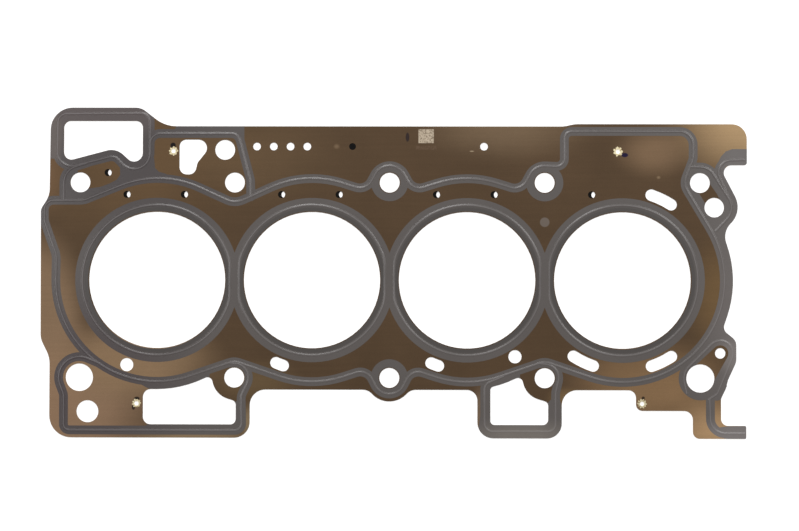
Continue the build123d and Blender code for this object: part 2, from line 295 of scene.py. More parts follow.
def makeFieldGroup():
    group = bpy.data.node_groups.new("squareField", "ShaderNodeTree")
    group.interface.new_socket("Place", in_out="INPUT", socket_type="NodeSocketVector")
    group.interface.new_socket("Centre", in_out="INPUT", socket_type="NodeSocketVector")
    group.interface.new_socket("Half Size", in_out="INPUT", socket_type="NodeSocketVector")
    group.interface.new_socket("Mask", in_out="OUTPUT", socket_type="NodeSocketFloat")
    inside = addNode(group, "NodeGroupInput")
    outside = addNode(group, "NodeGroupOutput")
    away = addNode(group, "ShaderNodeVectorMath", operation="SUBTRACT")
    size = addNode(group, "ShaderNodeVectorMath", operation="ABSOLUTE")
    over = addNode(group, "ShaderNodeVectorMath", operation="SUBTRACT")
    split = addNode(group, "ShaderNodeSeparateXYZ")
    most = addNode(group, "ShaderNodeMath", operation="MAXIMUM")
    group.links.new(inside.outputs["Place"], away.inputs[0])
    group.links.new(inside.outputs["Centre"], away.inputs[1])
    group.links.new(away.outputs["Vector"], size.inputs[0])
    group.links.new(size.outputs["Vector"], over.inputs[0])
    group.links.new(inside.outputs["Half Size"], over.inputs[1])
    group.links.new(over.outputs["Vector"], split.inputs["Vector"])
    group.links.new(split.outputs["X"], most.inputs[0])
    group.links.new(split.outputs["Y"], most.inputs[1])
    fadeFrom, fadeTo = fieldSide
    mask = ranged(group, most.outputs["Value"], fadeFrom * mm, fadeTo * mm, 1, 0)
    group.links.new(mask, outside.inputs["Mask"])
    return group


fieldGroup = makeFieldGroup()


def fieldMask(tree, place, centre, halfSize):
    node = addNode(tree, "ShaderNodeGroup", node_tree=fieldGroup)
    node.inputs["Centre"].default_value = (centre[0] * mm, centre[1] * mm, 0)
    node.inputs["Half Size"].default_value = (halfSize[0] * mm, halfSize[1] * mm, 1)
    tree.links.new(place, node.inputs["Place"])
    return node.outputs["Mask"]


def heightOf(tree, place):
    split = addNode(tree, "ShaderNodeSeparateXYZ")
    tree.links.new(place, split.inputs["Vector"])
    return split.outputs["Z"]


# Material: lacquered spring steel, bronze brown

sheetFinish = {
    "tone": srgb(83, 65, 47),
    "fields": [
        # centre, size, feather, colour and strength of each lighter field, a painted reflection of
        # the bright surroundings, mostly towards the corners and edges
        ((-150, 70), (90, 62), 0.9, srgb(100, 78, 54), 0.8),
        ((-75, 72), (62, 34), 0.9, srgb(98, 78, 56), 0.75),
        ((-80, -60), (34, 16), 0.9, srgb(104, 85, 60), 0.8),
        ((-208, 62), (24, 30), 0.9, srgb(116, 90, 66), 0.8),
        ((-206, -24), (32, 62), 0.6, srgb(130, 106, 82), 0.95),
        ((-196, -76), (76, 58), 0.75, srgb(138, 111, 87), 1.0),
        ((-150, -48), (60, 30), 0.7, srgb(136, 111, 84), 0.95),
        ((215, 98), (62, 50), 0.85, srgb(168, 140, 104), 1.0),
        ((156, 76), (28, 19), 0.9, srgb(136, 110, 84), 0.6),
        ((155, -62), (60, 34), 0.85, srgb(134, 106, 76), 0.95),
        ((192, -92), (34, 30), 0.85, srgb(170, 138, 102), 1.0),
        ((196, -10), (26, 46), 0.9, srgb(112, 88, 58), 0.8),
        ((68, 90), (62, 24), 0.9, srgb(118, 98, 76), 0.75),
        ((104, -69), (14, 8), 0.9, srgb(124, 100, 68), 0.7),
        ((-115, -93), (52, 5), 0.8, srgb(140, 118, 90), 0.85),
        ((-82, -84), (8, 14), 0.8, srgb(140, 120, 92), 0.8),
        ((53, -78), (6, 20), 0.8, srgb(122, 102, 84), 0.8),
    ],
    "spots": [
        # centre, size, feather, colour and strength of each small mark
        ((91.5, 34.3), (3.1, 3.1), 0.2, srgb(112, 103, 96), 0.75),
        ((-31.4, 79.0), (2.4, 2.0), 0.9, srgb(134, 112, 88), 0.5),
        ((158.6, 60.8), (1.6, 1.3), 0.9, srgb(150, 128, 100), 0.5),
        ((48.5, 76.2), (1.7, 0.45), 0.6, srgb(168, 150, 124), 0.8),
        # dark spots just beside each rivet
        ((-128.2, 79.6), (1.9, 1.9), 0.35, srgb(14, 13, 18), 0.95),
        ((138.7, 74.0), (2.4, 1.5), 0.35, srgb(24, 18, 52), 0.95),
        ((149.4, -69.2), (1.2, 1.2), 0.4, srgb(26, 22, 20), 0.85),
        ((-148.9, -70.0), (2.0, 1.3), 0.4, srgb(18, 15, 16), 0.9),
        ((-150.9, -75.2), (1.2, 1.8), 0.4, srgb(22, 18, 20), 0.85),
        ((10.5, 84.5), (1.3, 3.2), 0.35, srgb(40, 33, 36), 0.85),
    ],
    "etched": ((21.5, 85.1), (4.4, 4.0)),
    "etchedTone": srgb(188, 173, 152),
    "rubbed": ((21.5, 78.2), (6.0, 1.1)),
    "rubbedTone": srgb(104, 84, 68),
    "topFrom": (0.9, 0.92),     # the marks are on the upper face alone
    "speckle": 1500.0,
    "etchedSpeck": (0.4, 0.52, 0.35, 0.95),     # from, to, and the strength at each
    "rubbedSpeck": (0.42, 0.6, 0.1, 0.6),
    "rolled": (60.0, (0.25, 9.0, 1)),     # scale and stretch of the rolling lines
    "rolledTint": (0.97, 1.03),           # least and most that the colour is multiplied by
    "cloudTint": (0.92, 1.08),
    "grainTint": (0.94, 1.06),
    "fineness": 2600.0,
    "bump": (0.2, 0.00002),
    "rough": (0.4, 0.5),
    "metallic": 0.3,
    "specular": 0.1,
}


def makeSheetMaterial():
    f = sheetFinish
    material, tree, shader = newMaterial("bronzeSteel")
    place = addNode(tree, "ShaderNodeTexCoord").outputs["Object"]
    grain, cloud = grainOver(tree, place, f["fineness"])
    colour = f["tone"]
    # painted reflection: lighter fields laid over the sheet's own tone
    for centre, size, feather, tone, strength in f["fields"]:
        mask = patchMask(tree, place, centre, size, feather)
        colour = mixed(tree, ranged(tree, mask, 0, 1, 0, strength), colour, tone)
    lineScale, lineStretch = f["rolled"]
    rolled = noiseOver(tree, place, lineScale, detail=2.0, stretch=lineStretch)
    for pattern, tint in ((rolled, "rolledTint"), (cloud, "cloudTint"), (grain, "grainTint")):
        colour = mixed(tree, 1.0, colour, ranged(tree, pattern, *noiseRange, *f[tint]), "MULTIPLY")
    topLow, topHigh = f["topFrom"]
    top = ranged(tree, heightOf(tree, place), topLow * mm, topHigh * mm, 0, 1)
    for centre, size, feather, tone, strength in f["spots"]:
        mask = ranged(tree, patchMask(tree, place, centre, size, feather), 0, 1, 0, strength)
        colour = mixed(tree, mixed(tree, 1.0, mask, top, "MULTIPLY"), colour, tone)
    speckle = noiseOver(tree, place, f["speckle"], detail=1.0)
    etched = mixed(tree, 1.0, fieldMask(tree, place, *f["etched"]), top, "MULTIPLY")
    etched = mixed(tree, 1.0, etched, ranged(tree, speckle, *f["etchedSpeck"]), "MULTIPLY")
    colour = mixed(tree, etched, colour, f["etchedTone"])
    rubbed = mixed(tree, 1.0, fieldMask(tree, place, *f["rubbed"]), top, "MULTIPLY")
    rubbed = mixed(tree, 1.0, rubbed, ranged(tree, speckle, *f["rubbedSpeck"]), "MULTIPLY")
    colour = mixed(tree, rubbed, colour, f["rubbedTone"])
    tree.links.new(colour, shader.inputs["Base Color"])
    tree.links.new(ranged(tree, cloud, *noiseRange, *f["rough"]), shader.inputs["Roughness"])
    shader.inputs["Metallic"].default_value = f["metallic"]
    shader.inputs["Specular IOR Level"].default_value = f["specular"]
    addBump(tree, shader, grain, *f["bump"])
    return material


# Material: the grey elastomer printed along the seal lines

printFinish = {
    "tone": srgb(84, 78, 75),
    "fields": [
        # centre, size, feather, colour and strength, as above
        ((-185, -60), (95, 90), 0.9, srgb(60, 50, 51), 0.95),
        ((-160, 70), (110, 75), 0.9, srgb(63, 56, 56), 0.95),
        ((-170, 98), (52, 18), 0.6, srgb(83, 73, 72), 0.85),
        ((-199, 84), (7, 22), 0.6, srgb(94, 84, 79), 0.8),
        ((212, -20), (40, 110), 0.9, srgb(103, 96, 93), 0.9),
        ((205, -92), (40, 16), 0.9, srgb(124, 117, 115), 0.85),
        ((203, -44), (14, 14), 0.8, srgb(124, 117, 114), 0.7),
        ((204, 70), (16, 20), 0.8, srgb(104, 98, 96), 0.6),
        ((79, -92), (40, 14), 0.8, srgb(114, 107, 100), 0.9),
    ],
    # painted highlight: the lighter tone along the crest of each bead
    "crestHighlight": srgb(140, 135, 136),
    "crestHighlightShare": 0.42,
    "leastCrestHighlight": 0.45,             # share of the above where the painted crest highlight is weakest
    "crestHighlightCloud": (0.35, 0.65),
    "crestFrom": (1.12, 1.155),    # heights where the painted crest highlight starts and is full
    "nearBore": srgb(60, 55, 52),
    "nearBoreReach": 44.064,
    "nearBoreFeather": 0.04,
    "nearBoreShare": 0.75,
    "cloudTint": (0.95, 1.05),
    "grainTint": (0.95, 1.05),
    "fineness": 1800.0,
    "bump": (0.2, 0.00002),
    "rough": (0.45, 0.55),
    "specular": 0.1,
    "coat": 0.9,
    "coatRough": 0.27,
}


def makePrintMaterial():
    f = printFinish
    material, tree, shader = newMaterial("greyElastomer")
    place = addNode(tree, "ShaderNodeTexCoord").outputs["Object"]
    grain, cloud = grainOver(tree, place, f["fineness"])
    colour = f["tone"]
    for centre, size, feather, tone, strength in f["fields"]:
        mask = patchMask(tree, place, centre, size, feather)
        colour = mixed(tree, ranged(tree, mask, 0, 1, 0, strength), colour, tone)
    nearBoreSize = (f["nearBoreReach"], f["nearBoreReach"])
    for x in bores:
        mask = patchMask(tree, place, (x, 0), nearBoreSize, f["nearBoreFeather"])
        colour = mixed(tree, ranged(tree, mask, 0, 1, 0, f["nearBoreShare"]), colour, f["nearBore"])
    for pattern, tint in ((cloud, "cloudTint"), (grain, "grainTint")):
        colour = mixed(tree, 1.0, colour, ranged(tree, pattern, *noiseRange, *f[tint]), "MULTIPLY")
    # painted highlight: a lighter tone along the crest of each bead, stronger or weaker with the
    # cloud noise
    crestLow, crestHigh = f["crestFrom"]
    crestHighlight = ranged(tree, heightOf(tree, place), crestLow * mm, crestHigh * mm, 0, 1)
    least = f["leastCrestHighlight"] * f["crestHighlightShare"]
    crestHighlightByCloud = ranged(tree, cloud, *f["crestHighlightCloud"], least, f["crestHighlightShare"])
    colour = mixed(tree, mixed(tree, 1.0, crestHighlight, crestHighlightByCloud, "MULTIPLY"), colour, f["crestHighlight"])
    tree.links.new(colour, shader.inputs["Base Color"])
    tree.links.new(ranged(tree, cloud, *noiseRange, *f["rough"]), shader.inputs["Roughness"])
    shader.inputs["Specular IOR Level"].default_value = f["specular"]
    shader.inputs["Coat Weight"].default_value = f["coat"]
    shader.inputs["Coat Roughness"].default_value = f["coatRough"]
    addBump(tree, shader, grain, *f["bump"])
    return material


# Material: painted shade, near black, on the faces that the two sheets share, so that a hole
# through one sheet looks dark where the other lies below

innerFinish = {
    "tone": srgb(8, 7, 7),
    "shadeFleck": srgb(20, 18, 16),
    "shadeFleckFrom": (0.45, 0.75),
    "fineness": 1500.0,
    "bump": (0.3, 0.00003),
    "rough": (0.6, 0.75),
    "specular": 0.1,
}


def makeInnerMaterial():
    f = innerFinish
    material, tree, shader = newMaterial("paintedShadeBlack")
    place = addNode(tree, "ShaderNodeTexCoord").outputs["Object"]
    grain, cloud = grainOver(tree, place, f["fineness"])
    colour = mixed(tree, ranged(tree, grain, *f["shadeFleckFrom"], 0, 1), f["tone"], f["shadeFleck"])
    tree.links.new(colour, shader.inputs["Base Color"])
    tree.links.new(ranged(tree, cloud, *noiseRange, *f["rough"]), shader.inputs["Roughness"])
    shader.inputs["Specular IOR Level"].default_value = f["specular"]
    addBump(tree, shader, grain, *f["bump"])
    return material


# Material: bright pressed metal of the rivets

rivetFinish = {
    "tone": srgb(236, 224, 186),
    "dull": srgb(150, 128, 84),
    "dullFrom": (0.45, 0.7),
    "fineness": 900.0,
    "bump": (0.3, 0.00005),
    "rough": (0.22, 0.42),
    "metallic": 0.8,
}


def makeRivetMaterial():
    f = rivetFinish
    material, tree, shader = newMaterial("paleBrass")
    place = addNode(tree, "ShaderNodeTexCoord").outputs["Object"]
    grain, cloud = grainOver(tree, place, f["fineness"])
    colour = mixed(tree, ranged(tree, grain, *f["dullFrom"], 0, 1), f["tone"], f["dull"])
    tree.links.new(colour, shader.inputs["Base Color"])
    tree.links.new(ranged(tree, grain, *noiseRange, *f["rough"]), shader.inputs["Roughness"])
    shader.inputs["Metallic"].default_value = f["metallic"]
    addBump(tree, shader, grain, *f["bump"])
    return material


bronzeSteel = makeSheetMaterial()
greyElastomer = makePrintMaterial()
paintedShadeBlack = makeInnerMaterial()
paleBrass = makeRivetMaterial()
print("materials made")


# The two sheets, each filled in from the rim of the CAD solid's own face

sheets = {
    "edge": 0.05,          # rounding of the punched edges
    "smallest": 6.5,       # holes narrower than this are drawn again as true circles
    "roundSteps": 10,      # steps in a quarter of such a circle
    "smooth": 30,          # degrees
    "parting": 0.7,        # height of the faces that the sheets share, which carry the painted shade
    "upper": {"face": 0.95, "low": 0.705, "high": 0.95},
    "lower": {"face": 0.0, "low": 0.04, "high": 0.695},
}

smallHoles = {
    "gauge": 2.3,
    "orifice": 2.1,
    "sight": 2.0,
    "rivet": 1.95,
    "rivetFoot": 3.05,
    "drain": 3.1,
}
gaugeRow = row + 21.35
gaugeHoles = [(left + 13.0 + n * 9.92, gaugeRow) for n in range(4)] + [(right - 35.8, gaugeRow)]
sightHole = (-22.0, gaugeRow)
orificeRow = 50.5
orificeSides = (-18.1, 15.9)                   # from a bore's middle
orifices = [(x + side, orificeRow) for x in bores for side in orificeSides]
orifices[-1] = (farLeft + 16.4, row + 5.8)     # the last bore has only one, this is by a bolt
orificeShift = 2.0                             # in the lower sheet, which half covers each
rivets = {
    "rivetUpperLeft": (left - 36.4, row + 18.6),
    "rivetUpperRight": (right + 43.2, row + 18.4),
    "rivetLowerLeft": (left - 57.6, -row - 15.2),
    "rivetLowerRight": (farRight - 34.3, -row - 14.9),
}


def keepRim(piece, height):
    # all that stays of the solid is the closed lines round one flat face
    pickOnly(piece)
    bpy.ops.object.mode_set(mode="EDIT")
    bpy.ops.mesh.select_mode(type="FACE")
    bpy.ops.mesh.select_all(action="SELECT")
    bpy.ops.mesh.remove_doubles(threshold=engine["closeSpots"] * mm)
    bpy.ops.mesh.select_all(action="DESELECT")
    bpy.ops.object.mode_set(mode="OBJECT")
    for face in piece.data.polygons:
        away = abs(face.center.z - height * mm) > engine["closeSpots"] * mm
        face.select = away or abs(face.normal.z) < engine["level"]
    bpy.ops.object.mode_set(mode="EDIT")
    bpy.ops.mesh.delete(type="FACE")
    bpy.ops.mesh.select_all(action="SELECT")
    bpy.ops.mesh.select_mode(type="EDGE")
    bpy.ops.mesh.region_to_loop()
    bpy.ops.mesh.select_all(action="INVERT")
    bpy.ops.mesh.delete(type="EDGE")
    bpy.ops.object.mode_set(mode="OBJECT")


def makeSheet(name, part, holes):
    piece = linkNew(name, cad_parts["steel_sheets"].data.copy())
    keepRim(piece, part["face"])
    bpy.ops.object.convert(target="CURVE")
    line = piece.data
    for spline in list(line.splines):
        reach = [point.co.x for point in spline.points]
        if max(reach) - min(reach) < sheets["smallest"] * mm:
            line.splines.remove(spline)
    line.dimensions = "2D"
    line.fill_mode = "BOTH"
    line.resolution_u = sheets["roundSteps"]
    line.bevel_depth = sheets["edge"] * mm
    line.bevel_resolution = 1
    line.offset = -sheets["edge"] * mm
    line.extrude = ((part["high"] - part["low"]) / 2 - sheets["edge"]) * mm
    bpy.ops.object.mode_set(mode="EDIT")
    bpy.ops.curve.select_all(action="DESELECT")
    for spots, radius in holes:
        for x, y in spots:
            spot = (x * mm, y * mm, 0)
            bpy.ops.curve.primitive_bezier_circle_add(radius=radius * mm, location=spot)
            bpy.ops.curve.select_all(action="DESELECT")
    bpy.ops.object.mode_set(mode="OBJECT")
    bpy.ops.object.convert(target="MESH")
    piece.location.z = (part["low"] + part["high"]) / 2 * mm
    bpy.ops.object.transform_apply(location=True, rotation=True, scale=True)
    mergeSpots(piece, engine["closeSpots"])
    bpy.ops.object.shade_smooth_by_angle(angle=radians(sheets["smooth"]))
    finishPiece(piece, bronzeSteel)
    piece.data.materials.append(paintedShadeBlack)
    for face in piece.data.polygons:
        if abs(face.normal.z) > engine["level"]:
            face.use_smooth = False
            # the faces that the sheets share take the painted shade
            inner = abs(face.center.z - sheets["parting"] * mm) < sheets["edge"] * mm
            face.material_index = 1 if inner else 0
    return piece


upperHoles = [
    (gaugeHoles, smallHoles["gauge"]),
    ([sightHole], smallHoles["sight"]),
    (orifices, smallHoles["orifice"]),
    (rivets.values(), smallHoles["rivet"]),
    ([drainHole], smallHoles["drain"]),
]
lowerHoles = [
    (gaugeHoles, smallHoles["gauge"]),
    ([(x + orificeShift, y) for x, y in orifices], smallHoles["orifice"]),
    (rivets.values(), smallHoles["rivetFoot"]),
    ([drainHole], smallHoles["drain"]),
]
upperSheet = makeSheet("upperSheet", sheets["upper"], upperHoles)
lowerSheet = makeSheet("lowerSheet", sheets["lower"], lowerHoles)
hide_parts("steel_sheets")
print("sheets made", len(upperSheet.data.polygons), len(lowerSheet.data.polygons))

for name in ("seal_coating", "bore_coating"):
    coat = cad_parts[name]
    coat.data.materials.clear()
    coat.data.materials.append(greyElastomer)


# Beads: raised lines along the middle of the print
# A line runs round circles (x, y, radius): a radius above 0 turns left, below 0 turns right,
# and 0 is a point

beads = {
    "halfWidth": 1.0,
    "height": 0.175,
    "footDepth": 0.03,
    "profileSteps": 12,
    "boreRadius": 44.3,
    "boreFlat": 42.95,     # from a bore's middle to the flat beside the next bore
    "boreCorner": 20.0,
    "boreCornerLift": 0.3,
    "boltDistance": 13.6,  # from a bolt's middle to the line round the bores
    "nookGap": 0.5,
    "step": 1.2,           # length of a step round an arc
    "smooth": 40,          # degrees
    "closeSpots": 0.005,
}

jacketRadius = hypot(pitch / 2, row) - beads["boltDistance"]


def nook(first, second, radius):
    # the small circle that leads the line from one circle into the next
    x1, y1, r1 = first
    x2, y2, r2 = second
    reach = hypot(x2 - x1, y2 - y1)
    near = abs(r1) + radius + beads["nookGap"]
    far = abs(r2) + radius + beads["nookGap"]
    along = (near**2 - far**2 + reach**2) / (2 * reach)
    aside = sqrt(near**2 - along**2)
    ux = (x2 - x1) / reach
    uy = (y2 - y1) / reach
    return (x1 + along * ux - aside * uy, y1 + along * uy + aside * ux, radius)


def tangentRun(start, end):
    x1, y1, r1 = start
    x2, y2, r2 = end
    heading = atan2(y2 - y1, x2 - x1) - asin((r2 - r1) / hypot(x2 - x1, y2 - y1))
    sideX = sin(heading)
    sideY = -cos(heading)
    return (x1 + r1 * sideX, y1 + r1 * sideY), (x2 + r2 * sideX, y2 + r2 * sideY), heading


def linePoints(circles, closed):
    count = len(circles)
    runCount = count if closed else count - 1
    runs = [tangentRun(circles[i], circles[(i + 1) % count]) for i in range(runCount)]
    points = []
    for i, (start, end, heading) in enumerate(runs):
        points += [start, end]
        if not closed and i == len(runs) - 1:
            break
        x, y, radius = circles[(i + 1) % count]
        turn = (runs[(i + 1) % len(runs)][2] - heading) % (2 * pi)
        if radius < 0:
            turn -= 2 * pi
        steps = int(abs(turn * radius) / beads["step"]) + 1
        first = heading - pi / 2 if radius > 0 else heading + pi / 2
        for k in range(1, steps):
            angle = first + turn * k / steps
            points.append((x + abs(radius) * cos(angle), y + abs(radius) * sin(angle)))
    return points


jacket = [(x, 0, -jacketRadius) for x in bores]
upperMiddle = (0, row, -10)
upperRight = (right, row, -10)
lowerMiddle = (0, -row, -9.5)
jacketLine = [
    (bores[0] - jacketRadius - 14.4, 12, 14.6),
    (farLeft - 9.3, row - 20.6, -12),
    (farLeft - 15.8, row - 16.1, -5.5),
    (farLeft, row, 10.6),
    jacket[0],
    (left, row, 11.4),
    jacket[1],
    nook(jacket[1], upperMiddle, 7.8),
    upperMiddle,
    nook(upperMiddle, jacket[2], 7.8),
    jacket[2],
    nook(jacket[2], upperRight, 7.8),
    upperRight,
    (right + 7.1, row + 14.2, 4.5),
    (right + 16.1, row + 25.9, -4.5),
    (farRight - 12.0, row + 22.4, -8),
    (farRight - 10.5, row + 15.4, -6.5),
    (farRight, row, 8.8),
    jacket[3],
    (right, -row, 9.3),
    jacket[2],
    nook(jacket[2], lowerMiddle, 7.6),
    lowerMiddle,
    nook(lowerMiddle, jacket[1], 7.6),
    jacket[1],
    (left, -row, 9.3),
    jacket[0],
]
chainWindowLine = [
    (farLeft - 8.5, row + 35.7, -5),
    (farLeft + 36.0, row + 35.7, -5.2),
    (farLeft + 31.7, row + 17.4, -9.4),
    (farLeft + 18.3, row + 9.2, 6),
    (farLeft - 5.4, row + 17.95, -8.3),
]
leftBoltLine = [(farLeft + 4.0, row + 11.5, 0), (farLeft, row, 9.8), (farLeft - 9.8, row - 10.5, 0)]
drainLine = [
    (farLeft + 41.2, row + 17.0, 0),
    (farLeft + 47.2, row + 23.0, -6),
    (left - 2.3, row + 23.5, -5.5),
    (left, row, -9.3),
    (left + 9.4, row - 8.5, 0),
]
longWindowLine = [
    (farLeft + 12.0, -row + 8.2, 0),
    (farLeft, -row, 12.2),
    (farLeft - 16.5, -row - 11.4, -7.3),
    (farLeft - 5.7, -row - 27.5, 3.5),
    (left + 0.5, -row - 27.0, 4),
    (left + 11.7, -row - 12.4, -7.5),
    (left, -row, 8.4),
    (left - 3.0, -row + 8.6, 0),
]
shortWindowLine = [
    (right - 24.0, -row + 1.2, 0),
    (right - 31.1, -row - 6.4, 4.2),
    (right - 30.8, -row - 26.9, 4.5),
    (right + 1.9, -row - 26.9, 4.5),
    (right + 14.5, -row - 9.4, -8.1),
    (right, -row, 8.2),
    (right - 3.0, -row + 8.6, 0),
]
rightDowelLine = [
    (farRight - 8.0, -row - 9.0, 0),
    (farRight, -row, -9.7),
    (*drainHole, -7.4),
    (farRight + 7.2, -row - 7.0, -3.2),
    (farRight + 4.4, -row - 12.6, 0),
]
footLine = [
    (farRight + 5.4, -row - 11.8, 0),
    (farRight + 14.6, -row - 23.5, 8.8),
    (farRight + 26.0, -row - 32.3, 0),
]
earLine = [
    (farRight + 26.5, row + 13.7, 0),
    (farRight + 18.6, row + 5.9, 7.6),
    (*lobeHole, -10),
    (farRight + 9.0, 29.0, 0),
]
rightBoltLine = [
    (farRight - 5.5, row + 9.5, 0),
    (farRight, row, -9.4),
    (farRight + 17.2, row - 9.8, 0),
]


def boreLine(x, flatLeft, flatRight):
    # round the bore, flattened where the next bore is close
    ring = (x, 0, beads["boreRadius"])
    corner = beads["boreCorner"]
    reach = beads["boreFlat"] - corner
    rise = sqrt((beads["boreRadius"] - corner) ** 2 - reach**2) + beads["boreCornerLift"]
    line = [ring]
    if flatRight:
        line += [(x + reach, -rise, corner), (x + reach, rise, corner)]
    if flatLeft and flatRight:
        line.append(ring)
    if flatLeft:
        line += [(x - reach, rise, corner), (x - reach, -rise, corner)]
    return line


def makeProfile():
    # the section of a bead: a flat foot just inside the print, and a crown that eases out into it
    b = beads
    section = bpy.data.curves.new("beadSection", "CURVE")
    section.dimensions = "2D"
    spline = section.splines.new("POLY")
    spots = [(-b["halfWidth"], -b["footDepth"])]
    for k in range(b["profileSteps"] + 1):
        share = 2 * k / b["profileSteps"] - 1
        spots.append((share * b["halfWidth"], b["height"] * (1 + cos(pi * share)) / 2))
    spots.append((b["halfWidth"], -b["footDepth"]))
    spline.points.add(len(spots) - 1)
    for point, (x, y) in zip(spline.points, spots):
        point.co = (x * mm, y * mm, 0, 1)
    spline.use_cyclic_u = True
    return linkNew("beadSection", section)


def makeRidge(name, circles, closed, base):
    line = bpy.data.curves.new(name, "CURVE")
    line.dimensions = "3D"
    line.twist_mode = "Z_UP"
    line.bevel_mode = "OBJECT"
    line.bevel_object = beadSection
    line.use_fill_caps = not closed
    spline = line.splines.new("POLY")
    points = linePoints(circles, closed)
    spline.points.add(len(points) - 1)
    for point, (x, y) in zip(spline.points, points):
        point.co = (x * mm, y * mm, base * mm, 1)
    spline.use_cyclic_u = closed
    piece = linkNew(name, line)
    pickOnly(piece)
    bpy.ops.object.convert(target="MESH")
    mergeSpots(piece, beads["closeSpots"], turnOutwards=True)
    bpy.ops.object.shade_smooth_by_angle(angle=radians(beads["smooth"]))
    return piece


beadSection = makeProfile()
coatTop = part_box("seal_coating")[1].z / mm
ridges = [
    makeRidge("jacketBead", jacketLine, True, coatTop),
    makeRidge("chainBead", chainWindowLine, True, coatTop),
]
openLines = [
    leftBoltLine,
    drainLine,
    longWindowLine,
    shortWindowLine,
    rightDowelLine,
    footLine,
    earLine,
    rightBoltLine,
]
for number, circles in enumerate(openLines):
    ridges.append(makeRidge(f"openBead{number}", circles, False, coatTop))
for number, x in enumerate(bores):
    circles = boreLine(x, number > 0, number < 3)
    ridges.append(makeRidge(f"boreBead{number}", circles, True, coatTop))
sealBeads = joinPieces(ridges, "sealBeads")
bpy.data.objects.remove(beadSection)
finishPiece(sealBeads, greyElastomer)
print("beads made", len(sealBeads.data.polygons))


# Films: print that the CAD coat leaves out, a little lower than its top

films = {
    "low": 0.945,
    "high": 0.985,
    "lift": 0.0005,        # between one film and the next, so that none share a face
    "edgeGap": 0.09,       # from a punched edge
    "underCoat": 61.5,     # round a bore, a line that the jacket's print covers
    "arcSteps": 28,
}


def arcSpots(x, y, radius, start, end):
    steps = films["arcSteps"]
    angles = [radians(start + (end - start) * k / steps) for k in range(steps + 1)]
    return [(x + radius * cos(angle), y + radius * sin(angle)) for angle in angles]


def roundCorners(corners):
    # the points of a shape with rounded corners (x, y, radius)
    spots = []
    for i, (x, y, radius) in enumerate(corners):
        corner = Vector((x, y))
        back = (Vector(corners[i - 1][:2]) - corner).normalized()
        ahead = (Vector(corners[(i + 1) % len(corners)][:2]) - corner).normalized()
        half = back.angle(ahead) / 2
        middle = corner + (back + ahead).normalized() * radius / sin(half)
        first = corner + back * radius / tan(half) - middle
        last = corner + ahead * radius / tan(half) - middle
        start = atan2(first.y, first.x)
        turn = (atan2(last.y, last.x) - start + pi) % (2 * pi) - pi
        spots += arcSpots(middle.x, middle.y, radius, start * 180 / pi, (start + turn) * 180 / pi)
    return spots


def makePlate(name, outlines, low, high):
    line = bpy.data.curves.new(name, "CURVE")
    line.dimensions = "2D"
    line.fill_mode = "BOTH"
    line.extrude = (high - low) / 2 * mm
    for spots in outlines:
        spline = line.splines.new("POLY")
        spline.points.add(len(spots) - 1)
        for point, (x, y) in zip(spline.points, spots):
            point.co = (x * mm, y * mm, 0, 1)
        spline.use_cyclic_u = True
    piece = linkNew(name, line)
    pickOnly(piece)
    bpy.ops.object.convert(target="MESH")
    piece.location.z = (low + high) / 2 * mm
    bpy.ops.object.transform_apply(location=True, rotation=True, scale=True)
    mergeSpots(piece, engine["closeSpots"], turnOutwards=True)
    return piece


filmGap = films["edgeGap"]


def besideWindow(x, y, corners):
    # the edge of a window in the sheets, with its sides moved outwards by the gap
    spots = []
    for i, (cornerX, cornerY, radius) in enumerate(corners):
        corner = Vector((cornerX, cornerY))
        back = (corner - Vector(corners[i - 1][:2])).normalized()
        ahead = (Vector(corners[(i + 1) % len(corners)][:2]) - corner).normalized()
        first = Vector((-back.y, back.x))
        second = Vector((-ahead.y, ahead.x))
        moved = corner + (first + second) * filmGap / (1 + first.dot(second))
        grown = filmGap if back.cross(ahead) < 0 else -filmGap
        spots.append((x + moved.x, y + moved.y, radius + grown))
    return roundCorners(spots)


chainWindow = besideWindow(
    farLeft,
    row,
    [
        (-9.9, 36.4, 4),
        (36.9, 36.4, 4),
        (36.9, 5.7, 5.2),
        (21.0, 20.3, 10),
        (-9.9, 12.1, 4.5),
    ],
)
# the next two start at the corner below their bolt hole
longWindow = besideWindow(
    left,
    -row,
    [
        (1.0, -13.9, 3),
        (1.0, -27.6, 3.3),
        (-53.9, -27.6, 4.5),
        (-53.9, -6.85, 4.7),
        (-31.46, -6.85, 64.45),
        (-13.54, 1.51, 3),
        (-11.27, -10.15, 13),
    ],
)
shortWindow = besideWindow(
    right,
    -row,
    [
        (2.1, -14.23, 2.7),
        (2.1, -27.6, 3.3),
        (-32.0, -27.6, 2.5),
        (-32.0, -5.44, 2.2),
        (-23.57, -3.35, 64.5),
        (-13.54, 1.51, 3),
        (-11.27, -10.15, 13),
    ],
)
cornerSpots = films["arcSteps"] + 1
fromCorner = cornerSpots // 2                    # halfway round the first corner
pastFoot = cornerSpots * 2 + 8                   # a little way round the third
beforeTop = cornerSpots * 4 - 4                  # near the end of the fourth
toPeak = cornerSpots * 5 + cornerSpots // 2      # halfway round the sixth, beside the bolt hole
longWindowFilm = [
    *longWindow[fromCorner:pastFoot],
    (left - 53.0, -row - 29.6),
    (left - 50.0, -row - 31.0),
    *arcSpots(left + 0.5, -row - 27.0, 4, -90, 0),
    (left + 4.5, -row - 15.5),
    (left + 2.6, -row - 13.2),
]
longWindowTopFilm = [
    *longWindow[beforeTop:toPeak],
    *arcSpots(bores[0], 0, films["underCoat"], -59.5, -101),
]
